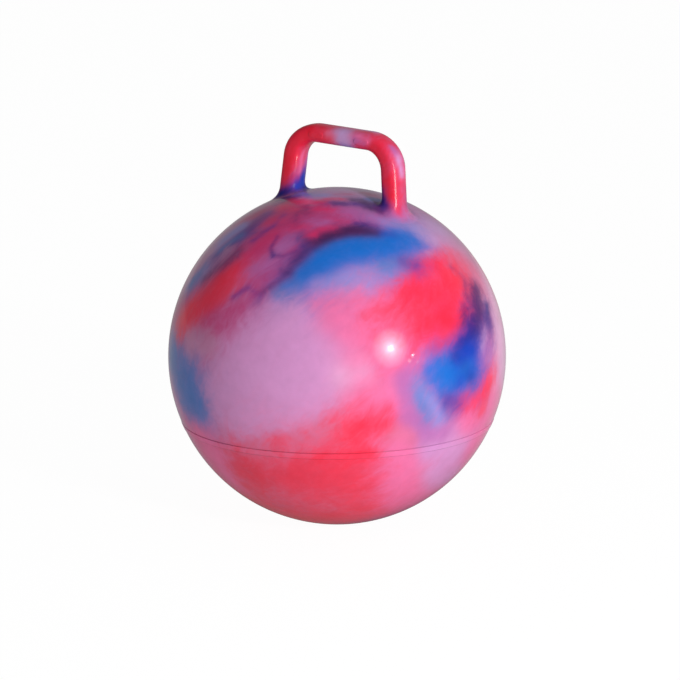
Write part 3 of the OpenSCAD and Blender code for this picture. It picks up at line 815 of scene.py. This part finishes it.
def loop_rings(handle, ball, points=144):
    """Rings of the right half of the loop, from the middle of the bar to inside the ball.

    The middle line is a level bar, an arc that touches both, and a leaning leg. Each line of the
    leg then turns outwards along a parabola that touches the leg and the ball, and tucks under
    the ball's surface.
    """
    middle = np.array([0.0, 0.0, ball.middle_z])
    lean = handle.leg_lean
    down = np.array([math.sin(lean), 0.0, -math.cos(lean)])
    root_x = handle.leg_spacing / 2
    root_z = ball.middle_z + math.sqrt(ball.radius ** 2 - root_x ** 2)
    bar_z = ball.middle_z + ball.radius + handle.bar_rise
    corner_z = bar_z - handle.corner_r
    corner_x = root_x - (handle.corner_r + (corner_z - root_z) * math.sin(lean)) / math.cos(lean)
    # Bar and corner, with close rings where the pads are
    fine, coarse, margin = 0.35 * MM, 1.4 * MM, 2 * MM
    pad_end = handle.pad_start + handle.pad_len + margin
    plain_end = handle.pad_start - margin
    along = np.append(np.arange(0, plain_end, coarse), np.arange(plain_end, corner_x, fine))
    corner_rows, leg_rows, flare_rows = 40, 18, 30
    sweep = math.pi / 2 - lean
    pad_turn = math.asin((pad_end - corner_x) / handle.corner_r)
    turned = np.concatenate([
        np.zeros(len(along)), np.arange(0, pad_turn, fine / handle.corner_r),
        np.linspace(pad_turn, sweep, corner_rows)])
    hub_x = np.append(along, np.full(len(turned) - len(along), corner_x))
    hub = np.stack([hub_x, np.full(len(turned), corner_z)], -1)
    out = np.stack([np.sin(turned), np.cos(turned)], -1)
    gone = smooth(turned / sweep)
    arch = tube_ring(
        hub + handle.corner_r * out, out,
        handle.bar_t + (handle.leg_t - handle.bar_t) * gone,
        handle.bar_depth + (handle.leg_depth - handle.bar_depth) * gone, handle.power, points)
    # Leg lines and their parabolas on to the ball
    top = arch[-1]
    offset = top - middle
    drop = offset @ down
    far = -drop - np.sqrt(drop ** 2 - (offset ** 2).sum(-1) + ball.radius ** 2)
    foot = top + far[:, None] * down
    leg_middle = top.mean(axis=0)
    away = unit((top - leg_middle)[:, :2])

    def on_ball(reach, radius):
        """Points at a reach out from the feet of the leg's lines, on a sphere of that radius."""
        flat = foot[:, :2] + reach * away
        rise = np.sqrt(radius ** 2 - (flat ** 2).sum(-1))
        return np.concatenate([flat, ball.middle_z + rise[:, None]], -1)

    rim = on_ball(handle.root_reach, ball.radius)
    normal = rim - middle
    turn = top + (((rim - top) * normal).sum(-1) / (normal @ down))[:, None] * down
    start = top + (far - handle.root_rise)[:, None] * down
    share_down = np.linspace(0, 1, leg_rows)[1:-1, None, None]
    leg = (1 - share_down) * top + share_down * start
    s = np.linspace(0, 1, flare_rows)[:, None, None]
    flare = (1 - s) ** 2 * start + 2 * s * (1 - s) * turn + s ** 2 * rim
    tuck_reach, tuck_depth = 3 * MM, 0.6 * MM
    tuck = on_ball(handle.root_reach + tuck_reach, ball.radius - tuck_depth)
    return np.concatenate([arch, leg, flare, tuck[None]]), bar_z


def raise_pads(rings, handle, bar_z):
    """Lifts the front of the bar by the pads' height where (x, z) lies in a capsule on its
    middle line, with a soft edge: the height times a smooth step of the distance inside."""
    inner = handle.pad_start + handle.pad_w / 2
    outer = handle.pad_start + handle.pad_len - handle.pad_w / 2
    beyond = rings[..., 0] - np.clip(rings[..., 0], inner, outer)
    distance = np.hypot(beyond, rings[..., 2] - bar_z)
    lift = smooth((handle.pad_w / 2 - distance) / handle.pad_edge + 0.5)
    lift = np.where(rings[..., 1] < 0, lift, 0)
    rings[..., 1] -= handle.pad_proud * lift
    return rings


# Points along the curve that rounds off a corner, and the most that it takes of a side
CORNER_STEPS = 5
LARGEST_CUT = 0.45


def rounded(corners, radius):
    """A closed outline whose corners are cut by parabolas, (1 - t)^2 a + 2t (1 - t) c + t^2 b,
    from a to b about the corner c. They start and end a radius from it, or less on short sides."""
    before = np.roll(corners, 1, axis=0) - corners
    after = np.roll(corners, -1, axis=0) - corners
    shorter = np.minimum(np.linalg.norm(before, axis=1), np.linalg.norm(after, axis=1))
    cut = np.minimum(radius, LARGEST_CUT * shorter)[:, None]
    start = corners + unit(before) * cut
    end = corners + unit(after) * cut
    s = np.linspace(0, 1, CORNER_STEPS)[:, None]
    curve = [(1 - t) ** 2 * start + 2 * t * (1 - t) * corners + t ** 2 * end for t in s]
    return np.stack(curve, 1).reshape(-1, 2)


def at_valve(rings, valve, ball):
    """Rings moved so that +Z points out through the valve and 0 lies on the ball."""
    c, s = math.cos(valve.tilt), math.sin(valve.tilt)
    turned = rings @ np.array([[1, 0, 0], [0, c, -s], [0, s, c]])
    return turned + np.array([0, s * ball.radius, ball.middle_z + c * ball.radius])


def seat_outline(valve):
    """Closed outline of the valve's seat: neck, collar, lens-shaped flange, recess and bore."""
    neck = valve.bore_r + valve.neck_wall
    rim = valve.recess_r + valve.flange_rim
    collar_foot = -valve.wall - valve.collar_t
    floor = valve.flange_t - valve.recess_depth
    return rounded(np.array([
        (valve.bore_r, -valve.neck_len),
        (neck, -valve.neck_len),
        (neck, collar_foot),
        (neck + valve.collar_reach, collar_foot),
        (neck + valve.collar_reach, -valve.wall),
        (neck, -valve.wall),
        (neck, -valve.wall / 2),
        (rim + valve.flange_slope, -valve.wall / 2),
        (rim, valve.flange_t),
        (valve.recess_r, valve.flange_t),
        (valve.recess_r, floor),
        (valve.bore_r, floor),
    ]), 0.5 * MM)


def plug_outline(valve):
    """Outline of the plug from its tip to the top of its dome.

    The dome is z = top - R + sqrt(R^2 - r^2), with R from the head's radius and the dome's rise.
    """
    cap_share, dome_rows = 0.02, 24
    seat_z = valve.flange_t - valve.recess_depth + valve.head_gap
    pitch = valve.shank_len / (valve.rib_count + 1)
    corners = [(0.2 * valve.shank_r, -valve.shank_len - valve.tip_len),
               (valve.shank_r / 2, -valve.shank_len - valve.tip_len),
               (valve.shank_r, -valve.shank_len)]
    for i in range(valve.rib_count, 0, -1):
        foot = -i * pitch - valve.rib_h / 2
        corners += [(valve.shank_r, foot), (valve.rib_r, foot),
                    (valve.rib_r, foot + valve.rib_h), (valve.shank_r, foot + valve.rib_h)]
    corners += [(valve.shank_r, 0), (valve.head_r, 0), (valve.head_r, valve.head_t)]
    dome_r = (valve.head_r ** 2 + valve.dome_h ** 2) / (2 * valve.dome_h)
    radii = np.linspace(valve.head_r, cap_share * valve.head_r, dome_rows)[1:]
    rise = valve.head_t + valve.dome_h - dome_r + np.sqrt(dome_r ** 2 - radii ** 2)
    outline = rounded(np.array(corners + list(zip(radii, rise))), 0.3 * MM)
    # The first corner only closed the outline, and the plug's tip is a flat cap
    return outline[CORNER_STEPS:] + np.array([0, seat_z])


class HOPPER_OT_ball(bpy.types.Operator):
    """Make the marbled ball"""

    bl_idname = "hopper.ball"
    bl_label = "Marbled ball"

    def execute(self, context):
        rings, seam_shading = ball_rings(settings().ball, columns=372)
        piece = mesh_from_rings("marbled_ball", rings)
        paint_marbling(piece)
        poles = [0, 0]
        # Painted shade in the seam's groove and at the belt's foot, and a painted highlight on the
        # belt, for the material
        seam_shading = np.append(np.repeat(seam_shading, rings.shape[1]), poles)
        add_attribute(piece, "seam_shading", np.stack([seam_shading] * 3, -1))
        dress(piece, "ball_skin", marbled_vinyl("Ball vinyl", 0.8, 0.06))
        return {"FINISHED"}


class HOPPER_OT_handle(bpy.types.Operator):
    """Make the loop handle with its roots and grip pads"""

    bl_idname = "hopper.handle"
    bl_label = "Loop handle"

    def execute(self, context):
        chosen = settings()
        right, bar_z = loop_rings(chosen.handle, chosen.ball)
        right = raise_pads(right, chosen.handle, bar_z)
        left = (right * (-1, 1, 1))[:0:-1]
        piece = mesh_from_rings("loop_handle", np.concatenate([left, right]))
        paint_marbling(piece)
        dress(piece, "handle", marbled_vinyl("Handle vinyl", 0.35, 0.16))
        return {"FINISHED"}


class HOPPER_OT_valve(bpy.types.Operator):
    """Make the valve's seat and its plug"""

    bl_idname = "hopper.valve"
    bl_label = "Air valve"

    def execute(self, context):
        chosen = settings()
        valve, ball, palette = chosen.valve, chosen.ball, chosen.palette
        seat = at_valve(revolved(seat_outline(valve), columns=96), valve, ball)
        piece = mesh_from_rings("valve_seat_ring", seat, looped=True)
        dress(piece, "valve_seat", satin_vinyl("Valve ring vinyl", palette.ring))
        plug = at_valve(revolved(plug_outline(valve), columns=72), valve, ball)
        piece = mesh_from_rings("valve_plug_stopper", plug)
        dress(piece, "valve_plug", satin_vinyl("Plug vinyl", palette.plug))
        return {"FINISHED"}


# Places of the lamps: how far off they are, the key lamp's direction and width, and each small
# lamp's direction, width and watts. Directions are in the camera's axes: right, up and back.
LAMP_DISTANCE = 3.0
CARD_DISTANCE = 3.2
KEY_DIRECTION, KEY_WIDTH = (0.572, 0.08, 0.816), 0.5
SMALL_LAMPS = {
    "Spark": ((0.769, 0.009, 0.639), 0.09, 0.5),
    "Glint": ((0.742, -0.05, 0.668), 0.14, 0.23),
    "Speck": ((0.808, -0.061, 0.586), 0.1, 0.06),
}
# The streak lamp's place and aim, and its width, height and watts
STREAK_PLACE, STREAK_AIM = (0.87, -0.14, 0.28), (0.07, 0.0, 0.49)
STREAK_LAMP = (0.3, 0.5, 10.0)


def camera_axes(stage):
    """The camera's right, up and back directions. Azimuth 0 looks along +Y."""
    a, e, roll = stage.azimuth, stage.elevation, stage.roll
    back = Vector((math.sin(a) * math.cos(e), -math.cos(a) * math.cos(e), math.sin(e)))
    right = Vector((math.cos(a), math.sin(a), 0))
    up = back.cross(right)
    turned_right = math.cos(roll) * right + math.sin(roll) * up
    turned_up = math.cos(roll) * up - math.sin(roll) * right
    return turned_right, turned_up, back


def add_camera(stage, axes, middle):
    """The camera that sees the object as the photo does."""
    right, up, back = axes
    data = bpy.data.cameras.new("Camera")
    data.lens = stage.lens
    data.sensor_width = stage.sensor
    data.clip_end = 100
    camera = new_object("Camera", data)
    spot = middle + back * stage.distance + right * stage.aim_right + up * stage.aim_up
    turned = Matrix((right, up, back)).transposed().to_4x4()
    camera.matrix_world = Matrix.Translation(spot) @ turned
    bpy.context.scene.camera = camera


def new_lamp(name, shape, width, height, power):
    """An area lamp."""
    data = bpy.data.lights.new(name, "AREA")
    data.shape, data.size, data.size_y, data.energy = shape, width, height, power
    return new_object(name, data)


def face(made, spot, back):
    """Puts an object at a spot, with its back turned to a direction."""
    made.location = spot
    made.rotation_mode = "QUATERNION"
    made.rotation_quaternion = back.to_track_quat("Z", "Y")


def face_ball(made, axes, middle, toward, distance):
    """Puts an object in a direction from the ball, in the camera's axes, to face the ball."""
    right, up, back = axes
    direction = (toward[0] * right + toward[1] * up + toward[2] * back).normalized()
    face(made, middle + direction * distance, direction)


def add_lamp(name, axes, middle, toward, width, power):
    """A round lamp that shines on the ball's middle."""
    lamp = new_lamp(name, "DISK", width, width, power)
    face_ball(lamp, axes, middle, toward, LAMP_DISTANCE)
    return lamp


def add_streak_lamp(handle, spot, aim, width, height, power):
    """A tall lamp that only the handle's reflections see, for the streak down its right leg."""
    lamp = new_lamp("Streak", "RECTANGLE", width, height, power)
    face(lamp, spot, Vector(spot) - Vector(aim))
    lamp.visible_camera = lamp.visible_diffuse = lamp.visible_transmission = False
    lit = bpy.data.collections.new("Lit by the streak lamp")
    lit.objects.link(handle)
    lamp.light_linking.receiver_collection = lit


def square(name, half, material):
    """A flat square for the stage, about its own middle and that wide to each side."""
    corners = [(-half, -half, 0), (half, -half, 0), (half, half, 0), (-half, half, 0)]
    made = new_mesh(name, corners, [(0, 1, 2, 3)])
    made.data.materials.append(material)
    return made


def add_glow_card(axes, middle, toward, glow):
    """A card that only reflections see, as the key lamp with its halo: a bright core, and a
    glow that falls off as exp(-r / a) and fades out at the card's edge."""
    half, fade = 0.8, 0.25
    core_r, core_edge = 0.03, 0.12
    halo_power, halo_falloff = 1.4, 4.2
    material, graph = new_material("Glow card")
    card = square("Glow card", half, material)
    face_ball(card, axes, middle, toward, CARD_DISTANCE)
    card.visible_camera = card.visible_diffuse = card.visible_shadow = False
    radius = graph.vector("LENGTH", graph.place())
    halo = halo_power * graph.maths("EXPONENT", radius * -halo_falloff)
    core = 1 - graph.ramp(radius, core_r, core_edge)
    faded = graph.ramp(half - radius, 0.0, fade)
    graph.output(graph.emission((halo + core) * faded * glow))


def backdrop(graph, direction, axes):
    """What reflections find in a direction from the ball: bright behind it and dark in front,
    as in a room with a lit white backdrop that is brighter to the right."""
    front, behind, slant = 0.02, 0.27, 0.12
    right, _, back = axes
    toward = graph.vector("NORMALIZE", direction)
    sideways = graph.vector("DOT_PRODUCT", toward, tuple(right))
    beyond = graph.vector("DOT_PRODUCT", toward, tuple(-back))
    return front + graph.ramp(beyond, 0.2, 1.0) * (behind + slant * sideways)


def add_floor(axes, middle):
    """A wide white floor that keeps a faint shadow of the object. It glows, more so for the
    camera, and reflections find the backdrop in it, a little brighter."""
    half, grey, white_power, mirrored_lift = 14.0, (0.8, 0.8, 0.8, 1), 1.02, 0.12
    glowing, more_for_camera = 0.4, 0.55
    material, graph = new_material("Floor")
    floor = square("Floor", half, material)
    seen, glossy = graph.rays()
    direction = graph.vector("SUBTRACT", graph.place(), tuple(middle))
    mirrored = graph.emission(mirrored_lift + backdrop(graph, direction, axes))
    lit = graph.node("ShaderNodeBsdfDiffuse", {"Color": grey})
    white, share = graph.emission(white_power), glowing + seen * more_for_camera
    bright = graph.node("ShaderNodeMixShader", {0: share, 1: lit, 2: white})
    graph.output(graph.node("ShaderNodeMixShader", {0: glossy, 1: bright, 2: mirrored}))


def add_surroundings(ambient, axes):
    """Soft studio light from all round, a little more from the right. It is seen as white behind
    the object, and as the backdrop in reflections."""
    slant = 0.3
    world = bpy.data.worlds.new("Studio")
    bpy.context.scene.world = world
    world.use_nodes = True
    graph = Graph(world.node_tree)
    direction = graph.node("ShaderNodeTexCoord")
    sideways = graph.vector("DOT_PRODUCT", direction, tuple(axes[0]))
    soft = ambient * (1 + slant * sideways)
    seen, glossy = graph.rays()
    around = soft + glossy * (backdrop(graph, direction, axes) - soft)
    strength = around + seen * (1 - around)
    white = graph.node("ShaderNodeBackground", {"Color": (1, 1, 1, 1), "Strength": strength})
    graph.output(white, "ShaderNodeOutputWorld")


class HOPPER_OT_stage(bpy.types.Operator):
    """Make the floor, the lamps, the surroundings and the camera"""

    bl_idname = "hopper.stage"
    bl_label = "Stage"

    def execute(self, context):
        chosen = settings()
        stage, middle = chosen.stage, Vector((0, 0, chosen.ball.middle_z))
        context.scene.view_settings.view_transform = "Standard"
        axes = camera_axes(stage)
        add_camera(stage, axes, middle)
        add_surroundings(stage.ambient, axes)
        add_floor(axes, middle)
        key = add_lamp("Key", axes, middle, KEY_DIRECTION, KEY_WIDTH, stage.key_power)
        key.visible_glossy = False
        add_glow_card(axes, middle, KEY_DIRECTION, stage.glow)
        for name, (toward, width, power) in SMALL_LAMPS.items():
            add_lamp(name, axes, middle, toward, width, power)
        handle = bpy.data.objects.get("loop_handle")
        if handle:
            add_streak_lamp(handle, STREAK_PLACE, STREAK_AIM, *STREAK_LAMP)
        return {"FINISHED"}


class HOPPER_PT_panel(bpy.types.Panel):
    """Sidebar panel that lists the parts and their settings"""

    bl_idname = "HOPPER_PT_panel"
    bl_label = "Hopper Ball"
    bl_space_type = "VIEW_3D"
    bl_region_type = "UI"
    bl_category = "Hopper Ball"

    def draw(self, context):
        chosen = settings()
        for operator, group in PARTS:
            box = self.layout.box()
            box.operator(operator.bl_idname)
            for name in getattr(chosen, group).__annotations__:
                box.prop(getattr(chosen, group), name)
        for name in chosen.palette.__annotations__:
            self.layout.prop(chosen.palette, name)


PARTS = [
    (HOPPER_OT_ball, "ball"),
    (HOPPER_OT_handle, "handle"),
    (HOPPER_OT_valve, "valve"),
    (HOPPER_OT_stage, "stage"),
]
CLASSES = [
    BallSizes, HandleSizes, ValveSizes, Palette, StageSettings, HopperBall,
    HOPPER_OT_ball, HOPPER_OT_handle, HOPPER_OT_valve, HOPPER_OT_stage, HOPPER_PT_panel,
]


def register():
    for made in CLASSES:
        bpy.utils.register_class(made)
    bpy.types.Scene.hopper_ball = bpy.props.PointerProperty(type=HopperBall)


def unregister():
    del bpy.types.Scene.hopper_ball
    for made in reversed(CLASSES):
        bpy.utils.unregister_class(made)


def main():
    register()
    bpy.ops.hopper.ball()
    bpy.ops.hopper.handle()
    bpy.ops.hopper.valve()
    bpy.ops.hopper.stage()


if __name__ == "__main__":
    main()
